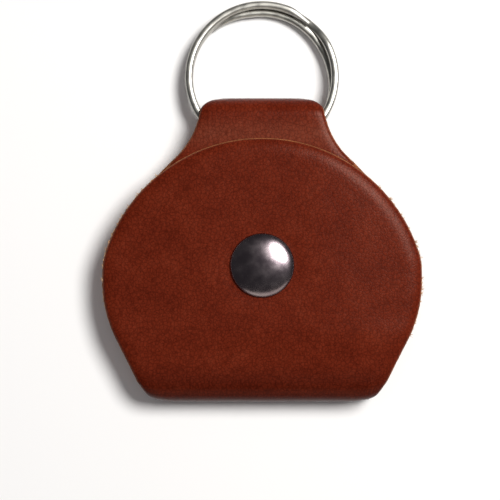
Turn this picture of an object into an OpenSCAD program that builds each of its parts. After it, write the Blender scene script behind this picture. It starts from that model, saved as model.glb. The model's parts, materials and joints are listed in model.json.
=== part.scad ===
// Leather pick holder on a key ring.
// One leather strip is folded twice: over the split ring at the top, and round the
// bottom, from where the front flap comes up and closes with a ring-spring snap.
// +X is to the right as seen from the front, +Y points to the key ring, and +Z comes
// out of the front.
// The origin is on the snap's axis, in the plane of the back face.

/* [Leather] */
// Thickness of the leather strip
leather_t = 1.8; // [1.4:0.1:2.0]
// Half width of the body at its widest
body_half_w = 31.5; // [29:0.5:33]
// Half width of the bottom fold, before its corners are rounded
fold_half_w = 22.5; // [20:0.5:24]
// Distance from the snap down to the bottom fold
bottom_y = 27.2; // [26:0.1:29]
// Radius of the arc that crowns the flap
crown_r = 32.5; // [32:0.1:34]
// Distance from the snap up to the top of the flap
flap_top_y = 25; // [24:0.1:26]
// How far the panels behind the flap show past its crown
panel_show = 0.3; // [0:0.1:0.6]
// Outer radius of the bottom fold
bottom_fold_r = 4.3; // [3.6:0.1:4.4]
// Distance from the snap to the free end of the inner panel
inner_end_y = 22; // [18:0.5:22]

/* [Neck] */
// Half width of the neck
neck_half_w = 12.1; // [11:0.1:12.1]
// Distance from the snap up to the top of the neck
neck_top_y = 33.3; // [33.3:0.1:34]
// Height of the gap in the neck that the ring lies in
ring_gap = 4.1; // [4.1:0.1:4.4]
// Radius of the hollow curve from the shoulder into the neck
neck_flare_r = 16; // [12:0.5:16]
// Line across the neck where the leather bends
neck_flex_y = 21.75; // [21.5:0.05:22]

/* [Split ring] */
// Outer diameter of the split ring
ring_od = 30.8; // [30.6:0.1:31]
// Diameter of its wire
ring_wire_d = 1.55; // [1.4:0.05:1.6]
// Distance from the snap to the ring's centre
ring_y = 37.55; // [37.4:0.05:37.6]
// Slope of the ring, from the neck down to the table
ring_tilt = 5; // [4:0.5:5]

/* [Snap] */
// Diameter of the domed cap
cap_d = 12.6; // [12:0.1:13]
// Height of the dome over the flap
cap_h = 1.9; // [1.5:0.1:2.2]
// Diameter of the socket on the flap's inner side
socket_d = 10.2; // [9.8:0.1:10.6]
// Diameter of the stud's flange and of the back post's flange
flange_d = 9.8; // [9:0.1:10]
// Thickness of the pressed sheet metal
sheet_t = 0.4; // [0.3:0.05:0.5]

/* [Hidden] */
$fn = 96;
eps = 0.01;

// Heights of the layers, from the back face up
inner_z = leather_t;
stud_z = 2 * leather_t;
socket_h = 3.4;
socket_z = stud_z + 0.8;
flap_z = socket_z + socket_h;
flap_rise_y = -12;
neck_front_z = leather_t + ring_gap;
neck_fold_r = (neck_front_z + leather_t) / 2;
fold_y = bottom_fold_r - bottom_y;
flex_gap = 0.1;
neck_fold_y = neck_top_y - neck_fold_r;
ramp_start_y = 13;
ramp_end_y = neck_flex_y - 0.25;

// Outline: angles and rounding of its corners
side_r = 25;
side_join_r = 12;
bottom_corner_r = 2;
neck_corner_r = 2.8;
side_slope = 26.5;
shoulder_slope = 45;
flare_end = 0.4;
arc_steps = 12;
big = 200;
tall = 20;

// Snap: radii of the riveted tubes and of the knob, and thickness of the back disc
tube_r = 1.75;
tube_bore_r = 1.35;
hole_play = 0.03;
neck_r = 2.3;
knob_r = 2.8;
knob_top_z = stud_z + 2.8;
spring_wire_r = 0.3;
spring_r = 2.95;
back_disc_t = 0.6;
rolled_rim = 1.6;

// Split ring
ring_r = (ring_od - ring_wire_d) / 2;
ring_pitch = ring_wire_d + 0.05;
ring_rest_gap = 0.02;
ring_z = ring_od / 2 * sin(ring_tilt)
    + (ring_pitch + ring_wire_d) / 2 * cos(ring_tilt) + ring_rest_gap;
ring_end_a = 78;
ring_joggle = 30;
joggle_steps = 4;
climb_lap = 2;

leather_red = [0.42, 0.15, 0.10];
leather_edge = [0.50, 0.24, 0.15];
dark_chrome = [0.36, 0.34, 0.34];
nickel = [0.72, 0.71, 0.69];

function smooth(t) = let (c = max(0, min(1, t))) c * c * (3 - 2 * c);

// Points of an arc, from angle a0 to a1
function arc(centre, r, a0, a1) = [
    for (i = [0:arc_steps])
        let (a = a0 + (a1 - a0) * i / arc_steps)
        centre + r * [cos(a), sin(a)]
];

function mirrored(points) = [
    for (i = [len(points) - 1:-1:0]) [-points[i][0], points[i][1]]
];

// The right side from the bottom corner to the crown, shared by the flap and the
// panels: a straight side, a long bulge, and a join into the arc of the crown
function side_points(r, join_r) =
    let (
        crown = [0, flap_top_y - crown_r],
        corner = [fold_half_w, -bottom_y],
        corner_turn = 90 - side_slope,
        corner_run = bottom_corner_r * tan(corner_turn / 2),
        widest_y = corner[1] + (body_half_w - corner[0]) / tan(side_slope),
        bulge = [body_half_w - side_r, widest_y + side_r * tan(side_slope / 2)],
        join_x = body_half_w - join_r,
        join_dy = sqrt(pow(r - join_r, 2) - pow(join_x, 2)),
        join = [join_x, crown[1] + join_dy]
    )
    concat(
        arc(corner + [-corner_run, bottom_corner_r], bottom_corner_r, -90, -side_slope),
        arc(bulge, side_r, -side_slope, 0),
        arc(join, join_r, 0, atan2(join_dy, join_x))
    );

// Outline of the flap: its sides and the arc of its crown
module flap_outline() {
    crown = [0, flap_top_y - crown_r];
    side = side_points(crown_r, side_join_r);
    start = atan2(side[len(side) - 1][1] - crown[1], side[len(side) - 1][0]);
    right = concat(side, arc(crown, crown_r, start, 90));
    polygon(concat(right, mirrored(right)));
}

// Outline of the panels behind the flap: the same sides, then the shoulder and the
// hollow curve into the neck
module panel_outline() {
    crown = [0, flap_top_y - crown_r];
    r = crown_r + panel_show;
    side = side_points(r, side_join_r);
    start = atan2(side[len(side) - 1][1] - crown[1], side[len(side) - 1][0]);
    flare_run = neck_flare_r * tan(shoulder_slope / 2);
    flare_y = neck_top_y - flare_end - flare_run;
    // where the shoulder's line, x + y = reach, meets the circle of the crown
    reach = neck_half_w + flare_y;
    half = (reach - crown[1]) / 2;
    shoulder_x = half + sqrt(pow(r, 2) / 2 - pow(half, 2));
    shoulder_a = acos(shoulder_x / r);
    flare = [neck_half_w + neck_flare_r, flare_y + flare_run];
    // the hollow curve stops where the rounded corner starts
    stop_a = 180 + asin((neck_corner_r - flare_end) / neck_flare_r);
    top = [flare[0] + neck_flare_r * cos(stop_a) - neck_corner_r, neck_top_y - neck_corner_r];
    right = concat(
        side,
        arc(crown, r, start, shoulder_a),
        arc(flare, neck_flare_r, 180 + shoulder_slope, stop_a),
        arc(top, neck_corner_r, 0, 90)
    );
    polygon(concat(right, mirrored(right)));
}

// A profile in Y and Z, carried across the whole width
module across() {
    rotate([90, 0, 90])
        linear_extrude(2 * body_half_w + 2, center = true)
            children();
}

module inside_panel_outline() {
    intersection() {
        across() children();
        translate([0, 0, -1]) linear_extrude(tall) panel_outline();
    }
}

// A sheet of leather of one thickness along a line of points in Y and Z
module sheet(line) {
    n = len(line) - 1;
    normals = [
        for (i = [0:n])
            let (d = line[min(n, i + 1)] - line[max(0, i - 1)])
            [-d[1], d[0]] / norm(d)
    ];
    polygon(concat(
        [for (i = [0:n]) line[i] + normals[i] * leather_t / 2],
        [for (i = [n:-1:0]) line[i] - normals[i] * leather_t / 2]
    ));
}

module hole(r) {
    translate([0, 0, -1]) cylinder(h = 3 * flap_z, r = r);
}

// Back of the strip, from the bottom fold to the neck
module back_panel() {
    color(leather_red)
        difference() {
            inside_panel_outline()
                translate([fold_y, 0]) square([neck_flex_y - flex_gap - fold_y, leather_t]);
            hole(tube_r + hole_play);
            translate([0, 0, -1])
                cylinder(h = 1 + back_disc_t, d = flange_d + 2 * hole_play);
        }
}

// Second layer: comes down from the neck over the back panel and ends over the fold
module inner_panel() {
    mid = inner_z + leather_t / 2;
    ramp_steps = 10;
    line = concat(
        [[-inner_end_y, mid]],
        [for (i = [0:ramp_steps])
            let (y = ramp_start_y + (ramp_end_y - ramp_start_y) * i / ramp_steps)
            [y, mid + ring_gap * smooth(i / ramp_steps)]],
        [[neck_flex_y - flex_gap, mid + ring_gap]]
    );
    color(leather_red)
        difference() {
            inside_panel_outline() sheet(line);
            hole(tube_r + hole_play);
        }
}

// The neck: two layers and the fold that holds the ring
module ring_loop() {
    start_y = neck_flex_y + flex_gap;
    top_z = 2 * neck_fold_r;
    color(leather_red)
        inside_panel_outline()
            difference() {
                union() {
                    translate([start_y, 0]) square([neck_fold_y - start_y, top_z]);
                    translate([neck_fold_y, neck_fold_r]) circle(neck_fold_r);
                }
                translate([start_y - 1, leather_t]) square([neck_fold_y - start_y + 1, ring_gap]);
                translate([neck_fold_y, neck_fold_r]) circle(ring_gap / 2);
                translate([start_y - big, -1]) square([big, big]);
            }
}

// Half-round fold at the bottom
module bottom_fold() {
    color(leather_edge)
        inside_panel_outline()
            difference() {
                translate([fold_y, bottom_fold_r]) circle(bottom_fold_r);
                translate([fold_y, bottom_fold_r]) circle(bottom_fold_r - leather_t);
                translate([fold_y, -1]) square([big, big]);
            }
}

// Front flap: rises from the fold over the snap and ends in its crowned edge
module front_flap() {
    start_z = 2 * bottom_fold_r - leather_t / 2;
    rise = flap_z + leather_t / 2 - start_z;
    rise_steps = 12;
    rise_y = fold_y + 0.5;
    line = concat(
        [[fold_y, start_z]],
        [for (i = [0:rise_steps])
            [rise_y + (flap_rise_y - rise_y) * i / rise_steps,
             start_z + rise * smooth(i / rise_steps)]],
        [[flap_top_y + 1, start_z + rise]]
    );
    color(leather_red)
        difference() {
            intersection() {
                across() sheet(line);
                linear_extrude(tall) flap_outline();
            }
            hole(tube_r + hole_play);
        }
}

// Domed cap with its rim rolled in over the post's flange
module snap_cap() {
    r = cap_d / 2;
    base_z = flap_z + leather_t + hole_play;
    dome_r = (pow(r, 2) + pow(cap_h, 2)) / (2 * cap_h);
    color(dark_chrome)
        translate([0, 0, base_z])
            rotate_extrude()
                difference() {
                    intersection() {
                        translate([0, cap_h - dome_r]) circle(dome_r, $fn = 256);
                        square([r, cap_h]);
                    }
                    intersection() {
                        translate([0, cap_h - dome_r]) circle(dome_r - sheet_t, $fn = 256);
                        translate([-1, -1]) square([r - sheet_t, cap_h + 1]);
                    }
                }
}

// Post of the cap: a flange inside the cap and a tube riveted over in the socket
module cap_post() {
    base_z = flap_z + leather_t + hole_play;
    tube_end_z = flap_z - sheet_t - 0.02;
    roll_r = 0.3;
    color(nickel)
        rotate_extrude() {
            translate([tube_bore_r, base_z]) square([cap_d / 2 - rolled_rim - tube_bore_r, sheet_t]);
            translate([tube_bore_r, tube_end_z - roll_r])
                square([tube_r - tube_bore_r, base_z + sheet_t - tube_end_z + roll_r]);
            translate([tube_bore_r, tube_end_z - 2 * roll_r + 0.05])
                square([tube_r + 0.7 - tube_bore_r, 2 * roll_r - 0.05]);
        }
}

// Socket: a cup on the flap's inner side, open towards the stud
module snap_socket() {
    r = socket_d / 2;
    mouth_r = knob_r + 0.6;
    color(nickel)
        translate([0, 0, socket_z])
            rotate_extrude()
                difference() {
                    square([r, socket_h]);
                    translate([-1, -1]) square([1 + tube_r + hole_play, big]);
                    translate([-1, sheet_t]) square([r - sheet_t + 1, socket_h - 2 * sheet_t]);
                    translate([-1, -1]) square([mouth_r + 1, socket_h - sheet_t + 1]);
                }
}

// Open ring of spring wire that grips the neck of the stud
module socket_spring() {
    gap = 36;
    color(nickel)
        translate([0, 0, socket_z + sheet_t + spring_wire_r + hole_play])
            rotate([0, 0, gap / 2])
                rotate_extrude(angle = 360 - gap)
                    translate([spring_r + 0.3, 0]) circle(spring_wire_r, $fn = 24);
}

// Stud: a flange on the inner panel and a knob with a waist
module snap_stud() {
    color(nickel)
        rotate_extrude()
            polygon([
                [tube_r + hole_play, stud_z],
                [flange_d / 2, stud_z],
                [flange_d / 2, stud_z + 0.3],
                [flange_d / 2 - 0.3, stud_z + 0.5],
                [neck_r, stud_z + 0.5],
                [neck_r, stud_z + 1.7],
                [knob_r, stud_z + 2.1],
                [knob_r, stud_z + 2.4],
                [neck_r + 0.1, knob_top_z],
                [tube_r + hole_play, knob_top_z],
            ]);
}

// Back post: a flat closed disc let into the back, and a tube riveted over the knob
module back_post() {
    roll_z = knob_top_z + 0.02;
    color(nickel)
        rotate_extrude() {
            square([flange_d / 2, back_disc_t]);
            translate([tube_bore_r, 0]) square([tube_r - tube_bore_r, roll_z + 0.3]);
            translate([tube_bore_r, roll_z]) square([neck_r - tube_bore_r, 0.3]);
        }
}

// One thin disc of wire across the ring at an angle and a height, a little thinner
// than the turns that it runs into
module wire_slice(a, z) {
    rotate([0, 0, a])
        translate([ring_r, 0, z])
            rotate([90, 0, 0])
                cylinder(h = eps, r = ring_wire_d / 2 - 0.04, center = true, $fn = 24);
}

// Angle round the ring on the climb, which reaches a little way into both turns
function climb_a(t) = ring_end_a - ring_joggle - climb_lap + (ring_joggle + 2 * climb_lap) * t;

// Split ring: a lower turn, a short climb, and an upper turn
module split_ring() {
    turn = 360 - ring_joggle;
    color(nickel)
        translate([0, ring_y, ring_z])
            rotate([-ring_tilt, 0, 0]) {
                for (side = [-1, 1])
                    rotate([0, 0, ring_end_a])
                        rotate_extrude(angle = turn)
                            translate([ring_r, side * ring_pitch / 2])
                                circle(d = ring_wire_d, $fn = 32);
                for (i = [0:joggle_steps - 1]) {
                    t0 = i / joggle_steps;
                    t1 = (i + 1) / joggle_steps;
                    hull() {
                        wire_slice(climb_a(t0), ring_pitch * (smooth(t0) - 0.5));
                        wire_slice(climb_a(t1), ring_pitch * (smooth(t1) - 0.5));
                    }
                }
            }
}

back_panel();
inner_panel();
ring_loop();
bottom_fold();
front_flap();
snap_cap();
cap_post();
snap_socket();
socket_spring();
snap_stud();
back_post();
split_ring();
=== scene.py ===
import json
import math
import random

import bmesh
import bpy
import numpy as np
from mathutils import Matrix, Vector, noise
from mathutils.geometry import delaunay_2d_cdt


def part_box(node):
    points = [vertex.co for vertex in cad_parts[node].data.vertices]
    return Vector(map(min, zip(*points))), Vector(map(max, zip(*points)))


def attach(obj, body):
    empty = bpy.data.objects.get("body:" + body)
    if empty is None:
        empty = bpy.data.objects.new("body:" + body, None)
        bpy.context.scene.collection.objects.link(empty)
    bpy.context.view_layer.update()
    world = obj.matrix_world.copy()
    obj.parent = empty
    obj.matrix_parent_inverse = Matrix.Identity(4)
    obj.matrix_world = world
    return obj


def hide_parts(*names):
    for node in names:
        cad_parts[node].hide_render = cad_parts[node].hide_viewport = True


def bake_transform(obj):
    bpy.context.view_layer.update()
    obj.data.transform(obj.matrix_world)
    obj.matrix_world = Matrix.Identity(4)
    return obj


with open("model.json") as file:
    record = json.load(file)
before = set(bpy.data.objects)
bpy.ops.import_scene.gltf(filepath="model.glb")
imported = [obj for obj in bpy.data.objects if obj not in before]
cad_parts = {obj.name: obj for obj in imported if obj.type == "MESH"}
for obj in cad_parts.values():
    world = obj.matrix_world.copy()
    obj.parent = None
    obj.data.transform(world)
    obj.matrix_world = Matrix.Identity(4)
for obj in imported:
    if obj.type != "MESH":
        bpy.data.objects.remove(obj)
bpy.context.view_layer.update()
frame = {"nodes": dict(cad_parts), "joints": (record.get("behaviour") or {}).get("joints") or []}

# Everything below is in millimetres until a mesh is made.
MM = 0.001


def box_mm(node):
    low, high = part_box(node)
    return low / MM, high / MM


def joint_named(name):
    return next(j for j in frame["joints"] if j["name"] == name)


# ---------------------------------------------------------------- sizes from the frame

LEATHER_T = box_mm("back_panel")[1].z
FOLD_R = box_mm("bottom_fold")[1].z / 2
BOTTOM_Y = box_mm("bottom_fold")[0].y
NECK_R = box_mm("ring_loop")[1].z / 2
NECK_TOP_Y = box_mm("ring_loop")[1].y
BODY_HALF_W = box_mm("front_flap")[1].x
FLAP_TOP_Y = box_mm("front_flap")[1].y
FLAP_TOP_Z = box_mm("front_flap")[1].z
INNER_END_Y = box_mm("inner_panel")[0].y
FLANGE_R = box_mm("back_post")[1].x
CAP_R = box_mm("snap_cap")[1].x
CAP_LOW_Z = box_mm("snap_cap")[0].z
CAP_TOP_Z = box_mm("snap_cap")[1].z
FLEX_Y = joint_named("neck_flex")["pos_m"][1] / MM
RING_CENTRE = Vector(joint_named("ring_spin")["pos_m"]) / MM
RING_AXIS = Vector(joint_named("ring_spin")["axis"])
RING_OUTER_R = box_mm("split_ring")[1].x - RING_CENTRE.x

# Shape of the die-cut outline, as in the CAD model
CROWN_R = 32.5
FOLD_HALF_W = 22.5
SIDE_SLOPE = 26.5
SIDE_R = 25.0
SIDE_JOIN_R = 12.0
BOTTOM_CORNER_R = 2.0
PANEL_SHOW = 0.3
NECK_HALF_W = 12.1
NECK_FLARE_R = 16.0
NECK_CORNER_R = 2.8
FLARE_END = 0.4
SHOULDER_SLOPE = 45.0
RAMP_START_Y = 13.0
RAMP_END_Y = FLEX_Y - 0.25
FLAP_RISE_END_Y = -12.0

FOLD_Y = BOTTOM_Y + FOLD_R
FOLD_MID_R = FOLD_R - LEATHER_T / 2
NECK_Y = NECK_TOP_Y - NECK_R
NECK_MID_R = NECK_R - LEATHER_T / 2
RING_GAP = 2 * (NECK_R - LEATHER_T)

# Where the leather strip is divided into meshes, as lengths along it from the middle
# of the bottom fold: the flap runs up from 0, the back runs down from 0
QUARTER = FOLD_MID_R * math.pi / 2
BACK_CUT_Y = 11.0
BACK_CUT = -(QUARTER + BACK_CUT_Y - FOLD_Y)
NECK_START = -(QUARTER + NECK_Y - FOLD_Y)
NECK_END = NECK_START - math.pi * NECK_MID_R
STRIP_END = NECK_END - (NECK_Y - INNER_END_Y)
FLAP_END = QUARTER + FLAP_TOP_Y - FOLD_Y

# Millimetres of leather that the strip's UV map covers each way, centred on 0.5
STRIP_SPAN = 100.0


# ---------------------------------------------------------------- small helpers

def smooth(t):
    t = np.clip(t, 0.0, 1.0)
    return t * t * (3 - 2 * t)


def arc(cx, cy, r, a0, a1, step=0.6):
    n = max(2, math.ceil(abs(math.radians(a1 - a0)) * r / step))
    angles = np.radians(np.linspace(a0, a1, n + 1))
    return np.column_stack([cx + r * np.cos(angles), cy + r * np.sin(angles)])


def finish_mesh(name, bm, materials, sharp_deg=40):
    mesh = bpy.data.meshes.new(name)
    bmesh.ops.recalc_face_normals(bm, faces=bm.faces)
    bm.to_mesh(mesh)
    bm.free()
    mesh.transform(Matrix.Scale(MM, 4))
    for material in materials:
        mesh.materials.append(material)
    mesh.polygons.foreach_set("use_smooth", [True] * len(mesh.polygons))
    mesh.set_sharp_from_angle(angle=math.radians(sharp_deg))
    obj = bpy.data.objects.new(name, mesh)
    bpy.context.scene.collection.objects.link(obj)
    return obj


# ---------------------------------------------------------------- outline of the strip

def side_outline(crown_r):
    """Right side from the bottom corner up to where it joins the arc of the crown."""
    crown_y = FLAP_TOP_Y - CROWN_R
    slope = math.radians(SIDE_SLOPE)
    run = BOTTOM_CORNER_R * math.tan(math.radians(90 - SIDE_SLOPE) / 2)
    widest_y = BOTTOM_Y + (BODY_HALF_W - FOLD_HALF_W) / math.tan(slope)
    join_x = BODY_HALF_W - SIDE_JOIN_R
    join_dy = math.sqrt((crown_r - SIDE_JOIN_R) ** 2 - join_x ** 2)
    join_a = math.degrees(math.atan2(join_dy, join_x))
    return np.vstack([
        arc(FOLD_HALF_W - run, BOTTOM_Y + BOTTOM_CORNER_R, BOTTOM_CORNER_R, -90, -SIDE_SLOPE, 0.2),
        arc(BODY_HALF_W - SIDE_R, widest_y + SIDE_R * math.tan(slope / 2), SIDE_R, -SIDE_SLOPE, 0),
        arc(join_x, crown_y + join_dy, SIDE_JOIN_R, 0, join_a),
    ])


def filled_in(points, step=0.6):
    """The same line with points no further apart than step."""
    out = [points[0]]
    for a, b in zip(points[:-1], points[1:]):
        n = max(1, math.ceil(np.linalg.norm(b - a) / step))
        out += [a + (b - a) * i / n for i in range(1, n + 1)]
    return np.array(out)


def flap_outline():
    side = side_outline(CROWN_R)
    crown_y = FLAP_TOP_Y - CROWN_R
    start = math.degrees(math.atan2(side[-1][1] - crown_y, side[-1][0]))
    return filled_in(np.vstack([side, arc(0, crown_y, CROWN_R, start, 90)[1:]]))


def panel_outline():
    r = CROWN_R + PANEL_SHOW
    side = side_outline(r)
    crown_y = FLAP_TOP_Y - CROWN_R
    start = math.degrees(math.atan2(side[-1][1] - crown_y, side[-1][0]))
    run = NECK_FLARE_R * math.tan(math.radians(SHOULDER_SLOPE) / 2)
    flare_y = NECK_TOP_Y - FLARE_END - run
    half = (NECK_HALF_W + flare_y - crown_y) / 2
    shoulder_x = half + math.sqrt(r ** 2 / 2 - half ** 2)
    shoulder_a = math.degrees(math.acos(shoulder_x / r))
    stop_a = 180 + math.degrees(math.asin((NECK_CORNER_R - FLARE_END) / NECK_FLARE_R))
    flare_x = NECK_HALF_W + NECK_FLARE_R
    corner_x = flare_x + NECK_FLARE_R * math.cos(math.radians(stop_a)) - NECK_CORNER_R
    return filled_in(np.vstack([
        side,
        arc(0, crown_y, r, start, shoulder_a)[1:],
        arc(flare_x, flare_y + run, NECK_FLARE_R, 180 + SHOULDER_SLOPE, stop_a),
        arc(corner_x, NECK_TOP_Y - NECK_CORNER_R, NECK_CORNER_R, 0, 90, 0.25)[1:],
    ]))


FLAP_OUTLINE = flap_outline()
PANEL_OUTLINE = panel_outline()


def half_width(s):
    """Half width of the strip at a length along it."""
    y = plan_y(s)
    flap = np.interp(y, FLAP_OUTLINE[:, 1], FLAP_OUTLINE[:, 0])
    panel = np.interp(y, PANEL_OUTLINE[:, 1], PANEL_OUTLINE[:, 0])
    return np.where(s > 0, flap, panel)


# ---------------------------------------------------------------- the strip in space

def plan_y(s):
    """Where a length along the strip lies in plan, on its outer face."""
    s = np.asarray(s, float)
    length = np.abs(s) - QUARTER
    fold = FOLD_Y - FOLD_R * np.cos(np.clip(np.abs(s) / FOLD_MID_R, 0, math.pi / 2))
    y = np.where(length < 0, fold, FOLD_Y + length)
    turn = np.clip((NECK_START - s) / NECK_MID_R, 0, math.pi)
    y = np.where((s < NECK_START) & (s > NECK_END), NECK_Y + NECK_R * np.sin(turn), y)
    return np.where(s <= NECK_END, NECK_Y - (NECK_END - s), y)


def flap_height(y):
    start = 2 * FOLD_R - LEATHER_T / 2
    rise_from = FOLD_Y + 0.5
    return start + (FLAP_TOP_Z - LEATHER_T / 2 - start) * smooth(
        (y - rise_from) / (FLAP_RISE_END_Y - rise_from))


def inner_height(y):
    return LEATHER_T * 1.5 + RING_GAP * smooth((y - RAMP_START_Y) / (RAMP_END_Y - RAMP_START_Y))


def slope_normal(height, y):
    dz = (height(y + 0.01) - height(y - 0.01)) / 0.02
    length = np.sqrt(1 + dz * dz)
    return -dz / length, 1 / length


def strip_point(x, s, h):
    """A point of the leather: x across, s along the strip, h out of its middle towards
    the grain side."""
    x, s, h = np.broadcast_arrays(np.asarray(x, float), np.asarray(s, float), np.asarray(h, float))
    y, z = np.zeros_like(s), np.zeros_like(s)
    ny, nz = np.zeros_like(s), np.zeros_like(s)

    def put(where, py, pz, pny, pnz):
        y[where], z[where], ny[where], nz[where] = py, pz, pny, pnz

    fold = np.abs(s) <= QUARTER
    turn = math.pi / 2 + s[fold] / FOLD_MID_R
    put(fold, FOLD_Y - FOLD_MID_R * np.sin(turn), FOLD_R - FOLD_MID_R * np.cos(turn),
        -np.sin(turn), -np.cos(turn))

    flap = s > QUARTER
    fy = FOLD_Y + s[flap] - QUARTER
    put(flap, fy, flap_height(fy), *slope_normal(flap_height, fy))

    back = (s < -QUARTER) & (s >= NECK_START)
    put(back, FOLD_Y - s[back] - QUARTER, LEATHER_T / 2, 0.0, -1.0)

    neck = (s < NECK_START) & (s > NECK_END)
    turn = (NECK_START - s[neck]) / NECK_MID_R
    put(neck, NECK_Y + NECK_MID_R * np.sin(turn), NECK_R - NECK_MID_R * np.cos(turn),
        np.sin(turn), -np.cos(turn))

    inner = s <= NECK_END
    iy = NECK_Y - (NECK_END - s[inner])
    put(inner, iy, inner_height(iy), *slope_normal(inner_height, iy))
    return np.column_stack([x, y + ny * h, z + nz * h])


def flap_droop(x, y):
    """How far the free flap hangs below its middle line towards its sides."""
    return 1.0 * smooth((np.abs(x) - 10) / 23) * smooth((y - FOLD_Y) / 14)


# ---------------------------------------------------------------- leather meshes

RIM_ROWS = (0.12, 0.26, 0.42, 0.7, 1.05, 1.5, 2.1, 2.8, 3.5)
GRID = 1.15
EDGE_INSET = 0.15
GRID_DEPTH = EDGE_INSET + RIM_ROWS[-1] + 0.5
ROW_GAP = 0.6
SEAM_RUN = 4.0
# Bulge of the cut edge, by share of the way from the grain side to the flesh side
EDGE_BULGES = ((0.13, 0.2), (0.2, 0.42), (0.19, 0.62), (0.12, 0.82))


def distance_to(points, line):
    a, b = line[:-1], line[1:]
    ab = b - a
    best = np.full(len(points), 1e9)
    for start, step in zip(a, ab):
        t = np.clip(((points - start) @ step) / max(step @ step, 1e-12), 0, 1)
        gap = points - (start + t[:, None] * step)
        best = np.minimum(best, np.hypot(gap[:, 0], gap[:, 1]))
    return best


def outward_normals(line):
    """Normals of a line that is followed with the leather on its left."""
    d = np.gradient(line, axis=0)
    n = np.column_stack([d[:, 1], -d[:, 0]])
    return n / np.linalg.norm(n, axis=1)[:, None]


def domain_points(rim, normals, s_low, s_high, round_rows, fold_rows):
    """Points inside a part of the strip: rows along its rim, circles round the snap,
    rows across its folds, and a grid over the rest."""
    points = []
    for depth in RIM_ROWS:
        row = rim - normals * (EDGE_INSET + depth)
        points.append(row[distance_to(row, rim) > 0.97 * (EDGE_INSET + depth)])
    centre_s, radii = round_rows
    for r in radii:
        a = np.linspace(0, 2 * math.pi, max(24, int(2 * math.pi * r / 0.5)), endpoint=False)
        points.append(np.column_stack([r * np.cos(a), centre_s + r * np.sin(a)]))
    for s in fold_rows:
        w = float(half_width(s)) - GRID_DEPTH
        n = int(w / 1.3)
        points.append(np.column_stack([np.linspace(-w, w, 2 * n + 1), np.full(2 * n + 1, s)]))
    rows = np.arange(s_low + GRID / 2, s_high, GRID * 0.87)
    grid = []
    for i, s in enumerate(rows):
        if any(abs(s - f) < ROW_GAP for f in fold_rows):
            continue
        xs = np.arange(-BODY_HALF_W, BODY_HALF_W, GRID) + (GRID / 2 if i % 2 else 0)
        grid.append(np.column_stack([xs, np.full(len(xs), s)]))
    grid = np.vstack(grid)
    keep = (distance_to(grid, rim) > GRID_DEPTH) & inside(grid, rim)
    gap = np.hypot(grid[:, 0], grid[:, 1] - centre_s)
    keep &= (gap < min(radii) - ROW_GAP) | (gap > max(radii) + ROW_GAP)
    points.append(grid[keep])
    points = np.vstack(points)
    ok = (points[:, 1] > s_low - 1e-6) & (points[:, 1] < s_high + 1e-6)
    return points[ok]


def inside(points, polygon):
    x, y = points[:, 0], points[:, 1]
    hit = np.zeros(len(points), bool)
    for (x0, y0), (x1, y1) in zip(polygon, np.roll(polygon, -1, axis=0)):
        cross = (y0 > y) != (y1 > y)
        with np.errstate(divide="ignore", invalid="ignore"):
            at = x0 + (y - y0) * (x1 - x0) / (y1 - y0)
        hit ^= cross & (x < at)
    return hit


def at_cut(s, cut):
    return np.abs(s - cut) < 1e-6


def seam_half_width(cut):
    return float(half_width(cut - 1e-6))


def closed_rim(right_side, seams):
    """The whole rim from its right-hand side, and its outward normals, which are
    square to the strip at the ends of a seam."""
    left_side = right_side[::-1] * [-1, 1]
    if np.allclose(right_side[-1], left_side[0]):
        left_side = left_side[1:]
    rim = np.vstack([right_side, left_side])
    normals = outward_normals(rim)
    for i, (x, s) in enumerate(rim):
        if any(at_cut(s, cut) for cut in seams):
            normals[i] = [math.copysign(1.0, x), 0.0]
    return rim, normals


def flat_triangles(border, extra, seams):
    """The flat part of the strip as points and triangles, with a row on each seam."""
    across = []
    for cut in seams:
        w = seam_half_width(cut) - GRID_DEPTH
        xs = np.linspace(-w, w, 2 * int(w / GRID) + 1)
        across.append(np.column_stack([xs, np.full(len(xs), cut)]))
        extra = extra[at_cut(extra[:, 1], cut) | (np.abs(extra[:, 1] - cut) > 0.35)]
    n = len(border)
    verts = [Vector(p) for p in np.vstack([border, extra] + across)]
    edges = [(i, (i + 1) % n) for i in range(n)]
    flat, _, faces, _, _, _ = delaunay_2d_cdt(verts, edges, [], 1, 1e-5)
    return np.array([v[:] for v in flat]), [list(face) for face in faces]


def boundary(faces):
    """The points round the outside of some faces, in order."""
    # A dictionary and not a set, so that the starting point is always the same
    sides = dict.fromkeys(pair for ring in faces for pair in zip(ring, ring[1:] + ring[:1]))
    following = {a: b for a, b in sides if (b, a) not in sides}
    loop = [next(iter(following))]
    while following[loop[-1]] != loop[0]:
        loop.append(following[loop[-1]])
    return loop


def bulge_directions(line, seams):
    """Which way the cut edge bulges at each point of it: not at all along a seam."""
    out = outward_normals(np.vstack([line[-1:], line, line[:1]]))[1:-1]
    on_seam = np.any([at_cut(line[:, 1], cut) for cut in seams], axis=0)
    for i in np.nonzero(on_seam)[0]:
        x, s = line[i]
        corner = abs(abs(x) - (seam_half_width(s) - EDGE_INSET)) < 0.02
        out[i] = [math.copysign(1.0, x), 0.0] if corner else [0.0, 0.0]
    return out


def edge_rows(line, out, grain, flesh):
    """Rows of points down the rough, bulging cut edge."""
    base = strip_point(line[:, 0], line[:, 1], 0.0)
    for bulge, share in EDGE_BULGES:
        rough = np.array([
            0.07 * noise.noise(Vector((x * 1.7, s * 1.7, share * 5))) for x, s in line])
        shift = out * (bulge + rough)[:, None]
        pushed = strip_point(line[:, 0] + shift[:, 0], line[:, 1] + shift[:, 1], 0.0)
        yield grain * (1 - share) + flesh * share + pushed - base


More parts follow.
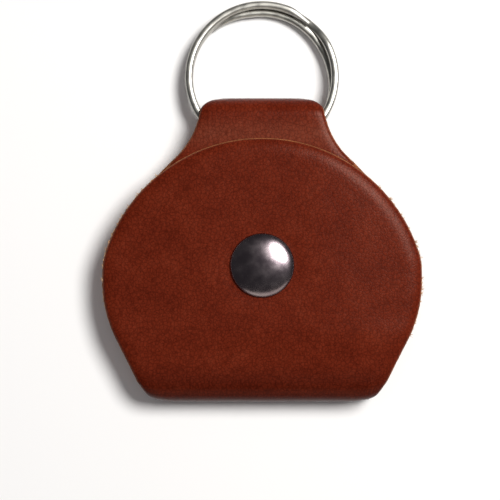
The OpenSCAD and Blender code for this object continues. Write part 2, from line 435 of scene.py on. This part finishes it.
def leather_piece(name, right_side, s_low, s_high, materials, shape,
                  round_rows, fold_rows, seams):
    """A closed mesh of leather from one half of its outline in the flat.

    right_side goes up (towards greater s) along the right-hand rim."""
    rim, normals = closed_rim(right_side, seams)
    extra = domain_points(rim, normals, s_low, s_high, round_rows, fold_rows)
    flat, faces = flat_triangles(rim - normals * EDGE_INSET, extra, seams)
    depth = distance_to(flat, extended(rim, seams))
    grain, flesh = shape(flat[:, 0], flat[:, 1], np.maximum(depth - EDGE_INSET, 0))

    bm = bmesh.new()
    strip = bm.loops.layers.uv.new("strip")
    flat_of = {}

    def add(points, places):
        made = [bm.verts.new(p) for p in points]
        flat_of.update(zip(made, places))
        return made

    top = add(grain, flat)
    low = add(flesh, flat)
    for ring in faces:
        bm.faces.new([top[i] for i in ring]).material_index = 0
        bm.faces.new([low[i] for i in reversed(ring)]).material_index = 2
    loop = boundary(faces)
    line = flat[loop]
    out = bulge_directions(line, seams)
    walls = [[top[i] for i in loop]]
    for row in edge_rows(line, out, grain[loop], flesh[loop]):
        walls.append(add(row, line))
    walls.append([low[i] for i in loop])
    for a, b in zip(walls[:-1], walls[1:]):
        for i in range(len(loop)):
            j = (i + 1) % len(loop)
            bm.faces.new([a[j], a[i], b[i], b[j]]).material_index = 1
    for face in bm.faces:
        for corner in face.loops:
            x, s = flat_of[corner.vert]
            corner[strip].uv = (x / STRIP_SPAN + 0.5, s / STRIP_SPAN + 0.5)
    return finish_mesh(name, bm, materials, sharp_deg=62)


def extended(rim, seams):
    """The rim, carried straight on past a seam at its lower end, so that depth is not
    counted from there. A seam at its upper end still counts as rim, so the grain side
    sinks a little along it."""
    line = list(rim)
    for cut in seams:
        first, last = line[0], line[-1]
        if at_cut(first[1], cut):
            below = [np.array([x, s - SEAM_RUN]) for x, s in (first, last)]
            line = below[:1] + line + below[1:]
    return np.array(line)


def edge_drop(depth, height=0.66, reach=3.2):
    """How far the surface rounds down towards its cut rim, ending in a worn arris."""
    rounding = height * np.clip(1 - depth / reach, 0, 1) ** 2.4
    arris = 0.16 * np.clip(1 - depth / 0.4, 0, 1) ** 2
    return rounding + arris


def waviness(x, s, size, seed):
    return np.array([noise.noise(Vector((a / size, b / size, seed))) for a, b in zip(x, s)])


def flesh_level(depth):
    return -LEATHER_T / 2 + 0.1 * np.clip(1 - depth / 0.7, 0, 1) ** 2


def pressed_in(r, deep):
    """How far the back post's flange has pressed the leather in round itself."""
    return deep * np.exp(-np.maximum(r - FLANGE_R, 0) / 0.7)


def flap_shape(x, s, depth):
    y = plan_y(s)
    r = np.hypot(x, y)
    sink = 0.1 * np.exp(-((r - CAP_R - 0.5) / 1.1) ** 2)
    ripple = 0.05 * waviness(x, s, 9.0, 3.0) * smooth(np.abs(s) / 8) * smooth((r - 7) / 4)
    top = LEATHER_T / 2 - edge_drop(depth) - sink
    low = flesh_level(depth)
    shift = np.column_stack([0 * x, 0 * x, ripple - flap_droop(x, y)])
    return strip_point(x, s, top) + shift, strip_point(x, s, low) + shift


def back_shape(x, s, depth):
    r = np.hypot(x, plan_y(s))
    recess = 0.64 * (1 - smooth((r - FLANGE_R - 0.03) / 0.12)) * (s < -QUARTER)
    pressed = pressed_in(r, 0.16) * (s < -QUARTER)
    top = LEATHER_T / 2 - edge_drop(depth, 0.3, 2.2) - np.maximum(recess, pressed)
    low = flesh_level(depth)
    return strip_point(x, s, top), strip_point(x, s, low)


def neck_shape(x, s, depth):
    r = np.hypot(x, plan_y(s))
    pressed = pressed_in(r, 0.14) * (s < NECK_END)
    ripple = 0.05 * waviness(x, s, 7.0, 8.0) * smooth((NECK_END - s) / 6)
    top = LEATHER_T / 2 - edge_drop(depth, 0.35, 2.4) - pressed + np.minimum(ripple, 0)
    low = flesh_level(depth)
    return strip_point(x, s, top), strip_point(x, s, low)


def along(outline, y_from, y_to):
    """The outline between two heights, with a point exactly at each."""
    ys = outline[:, 1]
    mid = outline[(ys > y_from + 0.05) & (ys < y_to - 0.05)]
    ends = [[np.interp(y, ys, outline[:, 0]), y] for y in (y_from, y_to)]
    return np.vstack([[ends[0]], mid, [ends[1]]])


def make_flap(materials):
    rows = np.linspace(0, QUARTER, 15)
    fold = np.column_stack([half_width(rows + 1e-9), rows])
    rise = along(FLAP_OUTLINE, FOLD_Y, FLAP_TOP_Y)[1:]
    rise = np.column_stack([rise[:, 0], rise[:, 1] - FOLD_Y + QUARTER])
    side = np.vstack([fold, rise])
    side[-1, 0] = 0.0
    centre = QUARTER - FOLD_Y
    return leather_piece(
        "leather_flap", side, 0.0, FLAP_END, materials, flap_shape,
        round_rows=(centre, (5.4, 5.9, 6.4, 6.9, 7.5, 8.2)), fold_rows=tuple(rows[1:]), seams=(0.0,))


def make_back(materials):
    rows = np.linspace(-QUARTER, 0, 15)
    fold = np.column_stack([half_width(rows - 1e-9), rows])
    rise = along(PANEL_OUTLINE, FOLD_Y, BACK_CUT_Y)[1:]
    rise = np.column_stack([rise[:, 0], -(rise[:, 1] - FOLD_Y + QUARTER)])
    side = np.vstack([rise[::-1], fold])
    centre = -(QUARTER - FOLD_Y)
    return leather_piece(
        "leather_back", side, BACK_CUT, 0.0, materials, back_shape,
        round_rows=(centre, (4.4, 4.9, 4.95, 5.0, 5.05, 5.12, 5.4, 5.9, 6.6)),
        fold_rows=tuple(rows[:-1]), seams=(0.0, BACK_CUT))


def make_neck(materials):
    up = along(PANEL_OUTLINE, BACK_CUT_Y, NECK_Y)
    up = np.column_stack([up[:, 0], -(up[:, 1] - FOLD_Y + QUARTER)])
    rows = np.linspace(NECK_START, NECK_END, 31)[1:-1]
    turn = np.column_stack([half_width(rows), rows])
    down = along(PANEL_OUTLINE, INNER_END_Y, NECK_Y)[::-1]
    down = np.column_stack([down[:, 0], NECK_END - (NECK_Y - down[:, 1])])
    side = np.vstack([up, turn, down])[::-1]
    centre = NECK_END - NECK_Y
    return leather_piece(
        "leather_neck", side, STRIP_END, BACK_CUT, materials, neck_shape,
        round_rows=(centre, (4.4, 4.8, 5.1, 5.5, 6.1)), fold_rows=tuple(rows), seams=(BACK_CUT,))


# ---------------------------------------------------------------- materials

def new_material(name):
    material = bpy.data.materials.new(name)
    material.use_nodes = True
    nodes = material.node_tree.nodes
    return material, nodes, material.node_tree.links, nodes["Principled BSDF"]


def add_node(nodes, kind, **settings):
    made = nodes.new(kind)
    for key, value in settings.items():
        if key in made.inputs:
            made.inputs[key].default_value = value
        else:
            setattr(made, key, value)
    return made


def ramp(nodes, stops):
    made = nodes.new("ShaderNodeValToRGB")
    elements = made.color_ramp.elements
    for i, (at, colour) in enumerate(stops):
        element = elements[i] if i < 2 else elements.new(at)
        element.position = at
        element.color = (*colour, 1)
    return made


def strip_coordinates(nodes, links, stretch=(1, 1)):
    """Millimetres across and along the leather, from the strip's own UV map."""
    uv = add_node(nodes, "ShaderNodeUVMap", uv_map="strip")
    mapping = nodes.new("ShaderNodeMapping")
    mapping.inputs["Scale"].default_value = (
        STRIP_SPAN * stretch[0], STRIP_SPAN * stretch[1], 1)
    links.new(uv.outputs["UV"], mapping.inputs["Vector"])
    return mapping.outputs["Vector"]


def noise_at(nodes, links, vector, scale, detail=3.0, rough=0.5):
    made = add_node(nodes, "ShaderNodeTexNoise", Scale=scale, Detail=detail, Roughness=rough)
    links.new(vector, made.inputs["Vector"])
    return made.outputs["Fac"]


def noise_colour(nodes, links, vector, scale):
    made = add_node(nodes, "ShaderNodeTexNoise", Scale=scale, Detail=2.0)
    links.new(vector, made.inputs["Vector"])
    return made.outputs["Color"]


def mix_colour(nodes, links, factor, a, b, blend="MIX"):
    made = nodes.new("ShaderNodeMix")
    made.data_type = "RGBA"
    made.blend_type = blend
    for socket, value in ((made.inputs[0], factor), (made.inputs[6], a), (made.inputs[7], b)):
        if hasattr(value, "links"):
            links.new(value, socket)
        elif isinstance(value, tuple):
            socket.default_value = (*value, 1)
        else:
            socket.default_value = value
    return made.outputs[2]


def math_node(nodes, links, operation, a, b=0.0):
    made = add_node(nodes, "ShaderNodeMath", operation=operation)
    for socket, value in ((made.inputs[0], a), (made.inputs[1], b)):
        if hasattr(value, "links"):
            links.new(value, socket)
        else:
            socket.default_value = value
    return made.outputs[0]


def bump(nodes, links, height, strength, distance, normal=None):
    made = add_node(nodes, "ShaderNodeBump", Strength=strength, Distance=distance)
    links.new(height, made.inputs["Height"])
    if normal is not None:
        links.new(normal, made.inputs["Normal"])
    return made.outputs["Normal"]


GRAIN_DARK = (0.093, 0.0100, 0.0034)
GRAIN_MID = (0.121, 0.0145, 0.0050)
GRAIN_LIGHT = (0.149, 0.0215, 0.0084)
# Lighter colour where the neck bends: partly paler stretched grain, partly a painted highlight.
GRAIN_FLEX_PALE_AND_LIT = (0.19, 0.050, 0.027)


def grain_material():
    material, nodes, links, shader = new_material("leather_grain")
    flat = strip_coordinates(nodes, links)
    streaked = strip_coordinates(nodes, links, (1, 0.28))
    mottle = noise_at(nodes, links, flat, 0.16, 4, 0.55)
    streak = noise_at(nodes, links, streaked, 2.2, 4, 0.6)
    speckle = noise_at(nodes, links, flat, 3.2, 3, 0.6)
    tone = math_node(nodes, links, "MULTIPLY_ADD", streak, 0.45)
    links.new(math_node(nodes, links, "MULTIPLY", mottle, 0.55), tone.node.inputs[2])
    tint = ramp(nodes, ((0.34, GRAIN_DARK), (0.52, GRAIN_MID), (0.70, GRAIN_LIGHT)))
    links.new(tone, tint.inputs["Fac"])
    specks = ramp(nodes, ((0.36, (0.78, 0.76, 0.76)), (0.62, (1.13, 1.13, 1.13))))
    links.new(speckle, specks.inputs["Fac"])
    colour = mix_colour(
        nodes, links, 1.0, tint.outputs["Color"], specks.outputs["Color"], "MULTIPLY")
    # Painted highlight, partly paler stretched grain: lighter in streaks where the neck bends above
    # the flap.
    colour = mix_colour(nodes, links, flex_paling_and_highlight(nodes, links, flat, streak), colour, GRAIN_FLEX_PALE_AND_LIT)
    pebble = add_node(nodes, "ShaderNodeTexVoronoi", feature="DISTANCE_TO_EDGE",
                      Scale=1.8, Randomness=1.0)
    warp = mix_colour(nodes, links, 0.24, flat, noise_colour(nodes, links, flat, 2.5))
    links.new(warp, pebble.inputs["Vector"])
    crease = ramp(nodes, ((0.0, (0, 0, 0)), (0.16, (1, 1, 1))))
    links.new(pebble.outputs["Distance"], crease.inputs["Fac"])
    shaded = ramp(nodes, ((0.0, (0.60, 0.56, 0.56)), (0.17, (1.07, 1.07, 1.07))))
    links.new(pebble.outputs["Distance"], shaded.inputs["Fac"])
    colour = mix_colour(nodes, links, 0.8, colour, mix_colour(
        nodes, links, 1.0, colour, shaded.outputs["Color"], "MULTIPLY"))
    # Painted shade: the colour is darkened near the bottom fold, where the leather turns away from
    # the light.
    colour = mix_colour(nodes, links, fold_shade_amount(nodes, links, flat), colour, mix_colour(
        nodes, links, 1.0, colour, (0.64, 0.60, 0.60), "MULTIPLY"))
    links.new(colour, shader.inputs["Base Color"])
    rough = ramp(nodes, ((0.3, (0.27,) * 3), (0.7, (0.35,) * 3)))
    links.new(streak, rough.inputs["Fac"])
    links.new(rough.outputs["Color"], shader.inputs["Roughness"])
    normal = bump(nodes, links, mottle, 0.12, 0.0006)
    normal = bump(nodes, links, streak, 0.3, 0.00004, normal)
    normal = bump(nodes, links, crease.outputs["Color"], 0.30, 0.00003, normal)
    normal = bump(nodes, links, speckle, 0.25, 0.00002, normal)
    links.new(normal, shader.inputs["Normal"])
    shader.inputs["Specular IOR Level"].default_value = 0.10
    shader.inputs["Specular Tint"].default_value = (1.0, 0.62, 0.52, 1)
    return material


def closeness(nodes, links, flat, middle, far, near):
    """1 within a near distance of a line across the strip, falling to 0 at a far one."""
    parts = nodes.new("ShaderNodeSeparateXYZ")
    links.new(flat, parts.inputs["Vector"])
    fade = add_node(nodes, "ShaderNodeMapRange", interpolation_type="SMOOTHSTEP")
    fade.inputs["From Min"].default_value = far
    fade.inputs["From Max"].default_value = near
    offset = math_node(nodes, links, "SUBTRACT", parts.outputs["Y"], middle + STRIP_SPAN / 2)
    links.new(math_node(nodes, links, "ABSOLUTE", offset), fade.inputs["Value"])
    return fade.outputs["Result"]


def fold_shade_amount(nodes, links, flat):
    """How much painted shade darkens the leather round the bottom fold, where its surface turns away
    from the light.
    """
    return closeness(nodes, links, flat, 0.0, QUARTER + 4.5, QUARTER - 1.0)


def flex_paling_and_highlight(nodes, links, flat, streak):
    """How much lighter the leather is painted, in streaks, where the neck bends just above the flap:
    partly paler stretched grain, partly a painted highlight where the surface faces the light.
    """
    middle = NECK_END - (NECK_Y - FLAP_TOP_Y - 0.8)
    return math_node(nodes, links, "MULTIPLY", closeness(nodes, links, flat, middle, 4.5, 0.0),
                     math_node(nodes, links, "MULTIPLY", streak, 0.75))


def raw_material(name, dark, light, fuzz_scale):
    """Cut edge or flesh side: fibrous, matt and lighter than the grain."""
    material, nodes, links, shader = new_material(name)
    place = nodes.new("ShaderNodeTexCoord").outputs["Object"]
    fibre = noise_at(nodes, links, place, fuzz_scale, 5, 0.65)
    patch = noise_at(nodes, links, place, fuzz_scale * 0.12, 3, 0.5)
    tone = math_node(nodes, links, "MULTIPLY_ADD", fibre, 0.6)
    links.new(math_node(nodes, links, "MULTIPLY", patch, 0.4), tone.node.inputs[2])
    tint = ramp(nodes, ((0.36, dark), (0.64, light)))
    links.new(tone, tint.inputs["Fac"])
    links.new(tint.outputs["Color"], shader.inputs["Base Color"])
    links.new(bump(nodes, links, fibre, 0.7, 0.00012), shader.inputs["Normal"])
    shader.inputs["Roughness"].default_value = 0.88
    shader.inputs["Specular IOR Level"].default_value = 0.08
    shader.inputs["Sheen Weight"].default_value = 0.06
    shader.inputs["Sheen Tint"].default_value = (1.0, 0.62, 0.40, 1)
    return material


def metal_material(name, dark, light, rough_low, rough_high, scratch_scale, strength=0.15):
    material, nodes, links, shader = new_material(name)
    place = nodes.new("ShaderNodeTexCoord").outputs["Object"]
    smear = noise_at(nodes, links, place, scratch_scale * 0.2, 3, 0.5)
    tint = ramp(nodes, ((0.35, dark), (0.65, light)))
    links.new(smear, tint.inputs["Fac"])
    links.new(tint.outputs["Color"], shader.inputs["Base Color"])
    haze = ramp(nodes, ((0.35, (rough_low,) * 3), (0.68, (rough_high,) * 3)))
    links.new(smear, haze.inputs["Fac"])
    links.new(haze.outputs["Color"], shader.inputs["Roughness"])
    scratch = noise_at(nodes, links, place, scratch_scale, 4, 0.6)
    links.new(bump(nodes, links, scratch, strength, 0.00001), shader.inputs["Normal"])
    shader.inputs["Metallic"].default_value = 1.0
    return material


# ---------------------------------------------------------------- metal pieces

def lathe(name, profile, materials, segments=128, sharp_deg=35):
    """A closed profile in r and z, turned round the snap's axis."""
    bm = bmesh.new()
    rings = []
    for r, z in profile:
        if r < 1e-6:
            rings.append([bm.verts.new((0, 0, z))])
        else:
            rings.append([
                bm.verts.new((r * math.cos(a), r * math.sin(a), z))
                for a in (2 * math.pi * i / segments for i in range(segments))
            ])
    for a, b in zip(rings, rings[1:] + rings[:1]):
        for i in range(segments):
            j = (i + 1) % segments
            corners = [a[i % len(a)], a[j % len(a)], b[j % len(b)], b[i % len(b)]]
            unique = list(dict.fromkeys(corners))
            if len(unique) > 2:
                bm.faces.new(unique)
    return finish_mesh(name, bm, materials, sharp_deg)


CAP_CROWN = 1.28
CAP_LIP = 0.12
CAP_SHEET = 0.35


def cap_height(r):
    """Height of the pressed dome: flat in the middle and turned down at its rim."""
    across = np.clip(r / CAP_R, 0, 1)
    crown = CAP_CROWN * (1 - across ** 2.1)
    shoulder = (CAP_TOP_Z - CAP_LOW_Z - CAP_CROWN - CAP_LIP) * np.sqrt(
        np.clip(1 - across ** 14, 0, 1))
    return CAP_LOW_Z + CAP_LIP + crown + shoulder


def make_cap(materials):
    radii = CAP_R * np.sin(np.linspace(0, math.pi / 2, 90))
    outer = [(r, float(cap_height(r))) for r in radii]
    lip = [(CAP_R - 0.03, CAP_LOW_Z + 0.05), (CAP_R - 0.1, CAP_LOW_Z), (CAP_R - CAP_SHEET, CAP_LOW_Z)]
    inner = [(r, float(cap_height(r)) - CAP_SHEET)
             for r in np.linspace(CAP_R - CAP_SHEET - 0.2, 0, 24)]
    cap = lathe("snap_dome", outer + lip + inner, materials)
    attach(cap, "flap")
    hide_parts("snap_cap")


RING_WIRE_R = 0.775
RING_STEP = 1.6
RING_END_A = 134.0
RING_END_B = 49.0
RING_TURN = 720.0 + RING_END_A - RING_END_B
RING_CLIMB_START = RING_TURN - 365
RING_CLIMB = 30
RING_CLEARANCE = 0.02
RING_SIDES = 24
# Exponent of the section, which is a little squarer than a circle
RING_SQUARENESS = 0.72
# How many lengths of wire at the lower and the upper end are bare from grinding
RING_GROUND_LOW = 4
RING_GROUND_HIGH = 9
# How far the lower turn is tucked inside the upper one, by degrees turned
RING_TUCK = ((0, 0.3), (34, 1.2), (84, 1.25), (108, 1.1), (126, 0.75), (142, 0.3), (154, 0.08),
             (166, 0.0))


def ring_path(turned):
    """Angle, radius and height of the wire after it has turned so many degrees
    clockwise from its lower end."""
    tuck = np.interp(turned, [t for t, _ in RING_TUCK], [d for _, d in RING_TUCK])
    climb = smooth((turned - RING_CLIMB_START) / RING_CLIMB)
    radius = RING_OUTER_R - RING_WIRE_R - RING_CLEARANCE - tuck
    return math.radians(RING_END_A - turned), radius, RING_STEP * (climb - 0.5)


def ring_wire(turned):
    """Half width, half height, and shift inwards and upwards of the wire, which is
    ground to a wedge at both ends."""
    low_end = float(smooth(turned / 24))
    high_end = float(smooth((RING_TURN - turned) / 20))
    width = RING_WIRE_R * (0.45 + 0.55 * low_end) * (0.5 + 0.5 * high_end)
    height = RING_WIRE_R * (0.55 + 0.45 * low_end) * (0.3 + 0.7 * high_end)
    inwards = (RING_WIRE_R - width) * 0.8
    upwards = (RING_WIRE_R - height) * (-1 if high_end == 1 else 0.3)
    return width, height, inwards, upwards


def squared(value):
    return math.copysign(abs(value) ** RING_SQUARENESS, value)


def make_ring(materials):
    steps = int(RING_TURN / 2)
    tilt = Vector((0, 0, 1)).rotation_difference(RING_AXIS)
    bm = bmesh.new()
    rings = []
    for i in range(steps + 1):
        turned = RING_TURN * i / steps
        angle, radius, z = ring_path(turned)
        width, height, inwards, upwards = ring_wire(turned)
        out = Vector((math.cos(angle), math.sin(angle), 0))
        ring = []
        for k in range(RING_SIDES):
            t = 2 * math.pi * k / RING_SIDES
            place = out * (radius - inwards + width * squared(math.cos(t)))
            place.z = z + upwards + height * squared(math.sin(t))
            ring.append(bm.verts.new(tilt @ place + RING_CENTRE))
        rings.append(ring)
    for i, (a, b) in enumerate(zip(rings[:-1], rings[1:])):
        ground = i < RING_GROUND_LOW or i >= steps - RING_GROUND_HIGH
        for k in range(RING_SIDES):
            m = (k + 1) % RING_SIDES
            bm.faces.new([a[k], a[m], b[m], b[k]]).material_index = int(ground)
    bm.faces.new(rings[0][::-1]).material_index = 1
    bm.faces.new(rings[-1]).material_index = 1
    ring = finish_mesh("key_ring", bm, materials, 50)
    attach(ring, "ring")
    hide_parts("split_ring")


# ---------------------------------------------------------------- loose fibres

def flap_middle(x, y):
    return flap_height(y) - flap_droop(x, y)


def panel_middle(x, y):
    """The height where the two panels of the strip meet, which is level."""
    return LEATHER_T


def make_fibres(name, body, outline, heights, lift, stretches, seed, materials):
    """Tufts of loose fibre on the raw edges. A stretch is a side, two heights in Y and
    a number of tufts; lift gives the height of the leather's middle at a place."""
    rng = random.Random(seed)
    bm = bmesh.new()
    for side, y_low, y_high, tufts in stretches:
        for _ in range(tufts):
            y = rng.uniform(y_low, y_high)
            x = float(np.interp(y, outline[:, 1], outline[:, 0]))
            z = rng.uniform(*heights) + float(lift(x, y))
            length = rng.choice((0.3, 0.4, 0.55, 0.75))
            for _ in range(rng.randint(4, 10)):
                heading = Vector(
                    (side, rng.uniform(-0.8, 0.8), rng.uniform(-0.3, 0.5))).normalized()
                curl = Vector((0, rng.uniform(-0.5, 0.5), rng.uniform(-0.3, 0.3)))
                root = Vector((side * (x - 0.1), y + rng.uniform(-0.2, 0.2), z))
                add_fibre(bm, root, heading, curl, length * rng.uniform(0.6, 1.1),
                          rng.uniform(0.03, 0.06))
    tufts = finish_mesh(name, bm, materials, 80)
    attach(tufts, body)


def add_fibre(bm, root, heading, curl, reach, thick):
    side = heading.orthogonal().normalized()
    other = heading.cross(side)
    rings = []
    for t in (0.0, 0.4, 0.75):
        p = root + heading * reach * t + curl * reach * t * t
        r = thick * (1 - 0.6 * t)
        rings.append([
            bm.verts.new(p + side * r * math.cos(a) + other * r * math.sin(a))
            for a in (0, 2 * math.pi / 3, 4 * math.pi / 3)
        ])
    tip = bm.verts.new(root + heading * reach + curl * reach)
    for a, b in zip(rings[:-1], rings[1:]):
        for k in range(3):
            bm.faces.new([a[k], a[(k + 1) % 3], b[(k + 1) % 3], b[k]])
    for k in range(3):
        bm.faces.new([rings[-1][k], rings[-1][(k + 1) % 3], tip])
    bm.faces.new(rings[0][::-1])


# ---------------------------------------------------------------- light, floor and camera

FLOOR_HALF = 1500
FLOOR_Z = -0.05
# The camera looks straight down; these are in metres
CAMERA_DISTANCE = 0.300
CAMERA_OFFSET = (-0.0024, 0.0030)
VIEW_WIDTH = 0.0985
VIEW_HEIGHT = 0.008
SENSOR = 36.0


def make_light(name, place, size, power, colour=(1, 1, 1)):
    data = bpy.data.lights.new(name, "AREA")
    data.shape = "ELLIPSE"
    data.size, data.size_y = size
    data.energy = power
    data.color = colour
    light = bpy.data.objects.new(name, data)
    light.location = place
    light.rotation_euler = (-Vector(place)).to_track_quat("-Z", "Y").to_euler()
    bpy.context.scene.collection.objects.link(light)
    return light


def make_stage():
    bm = bmesh.new()
    half = FLOOR_HALF
    bm.faces.new([bm.verts.new((x, y, FLOOR_Z)) for x, y in
                  ((-half, -half), (half, -half), (half, half), (-half, half))])
    material, _, _, shader = new_material("white_table")
    shader.inputs["Base Color"].default_value = (0.90, 0.90, 0.90, 1)
    shader.inputs["Roughness"].default_value = 0.75
    shader.inputs["Specular IOR Level"].default_value = 0.2
    floor = finish_mesh("table", bm, [material])

    world = bpy.data.worlds.new("studio")
    bpy.context.scene.world = world
    world.use_nodes = True
    background = world.node_tree.nodes["Background"]
    background.inputs["Color"].default_value = (0.95, 0.96, 1.0, 1)
    background.inputs["Strength"].default_value = 0.075

    make_light("key", polar(0.90, 36, 33), (0.44, 0.33), 9.8, (1.0, 0.985, 0.96))
    fill = make_light("fill", (-0.2, 0.0, 1.2), (1.3, 1.3), 2.3, (1.0, 0.93, 0.93))
    fill.visible_glossy = False
    card = make_light("low_card", polar(0.70, -80, 64), (1.3, 0.40), 1.5, (1.0, 0.94, 0.82))
    card.visible_diffuse = False


def polar(distance, azimuth, zenith):
    """A place seen from the origin at an azimuth and an angle from straight up."""
    a, z = math.radians(azimuth), math.radians(zenith)
    return (distance * math.sin(z) * math.cos(a), distance * math.sin(z) * math.sin(a),
            distance * math.cos(z))


def make_camera():
    """Frames VIEW_WIDTH of the plane that is VIEW_HEIGHT above the table."""
    data = bpy.data.cameras.new("camera")
    data.sensor_width = SENSOR
    data.lens = SENSOR * (CAMERA_DISTANCE - VIEW_HEIGHT) / VIEW_WIDTH
    data.clip_start = 0.01
    camera = bpy.data.objects.new("camera", data)
    camera.location = (*CAMERA_OFFSET, CAMERA_DISTANCE)
    camera.rotation_euler = (0, 0, 0)
    bpy.context.scene.collection.objects.link(camera)
    bpy.context.scene.camera = camera


# ---------------------------------------------------------------- the object

def fold_point(quarter_turns):
    """A point of the bottom fold's middle line, in metres."""
    p = strip_point(0.0, (quarter_turns - 1) * QUARTER, 0.0)[0]
    return tuple(p * MM)


grain = grain_material()
raw_edge = raw_material("leather_raw_edge", (0.085, 0.022, 0.009), (0.36, 0.125, 0.045), 2600)
flesh = raw_material("leather_flesh", (0.22, 0.085, 0.042), (0.40, 0.19, 0.11), 1500)
fluff = raw_material("leather_fluff", (0.42, 0.24, 0.13), (0.66, 0.44, 0.27), 2600)
cap_metal = metal_material(
    "cap_dark_nickel", (0.20, 0.16, 0.18), (0.27, 0.225, 0.24), 0.22, 0.28, 2200, 0.3)
ring_metal = metal_material(
    "ring_nickel", (0.40, 0.39, 0.36), (0.50, 0.49, 0.45), 0.33, 0.42, 3000)
ring_ground = metal_material(
    "ring_ground_end", (0.40, 0.39, 0.37), (0.50, 0.49, 0.46), 0.40, 0.50, 3000)
snap_metal = metal_material(
    "snap_nickel", (0.56, 0.55, 0.52), (0.70, 0.68, 0.64), 0.16, 0.30, 2600, 0.3)

strip_materials = [grain, raw_edge, flesh]
leather_flap = make_flap(strip_materials)
fold_point(1.0)
fold_point(2.0)
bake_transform(leather_flap)
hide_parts("front_flap", "bottom_fold")
leather_back = make_back(strip_materials)
fold_point(0.0)
fold_point(1.0)
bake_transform(leather_back)
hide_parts("back_panel")
leather_neck = make_neck(strip_materials)
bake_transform(leather_neck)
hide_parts("inner_panel", "ring_loop")

make_fibres("flap_fibres", "flap", FLAP_OUTLINE, (-0.75, 0.05), flap_middle,
            ((-1, -8.0, 9.0, 34), (1, -6.0, 17.0, 30), (-1, 9.0, 18.0, 12), (1, -16.0, -6.0, 10)),
            7, [fluff])
make_fibres("panel_fibres", "holder", PANEL_OUTLINE, (-1.3, 1.3), panel_middle,
            ((-1, -12.0, 14.0, 30), (1, -12.0, 14.0, 24)), 11, [fluff])
make_cap([cap_metal])
make_ring([ring_metal, ring_ground])
for name in ("cap_post", "snap_socket", "socket_spring", "snap_stud", "back_post"):
    node = frame["nodes"][name]
    node.data.materials.clear()
    node.data.materials.append(snap_metal)

make_stage()
make_camera()
bpy.context.scene.view_settings.view_transform = "Standard"
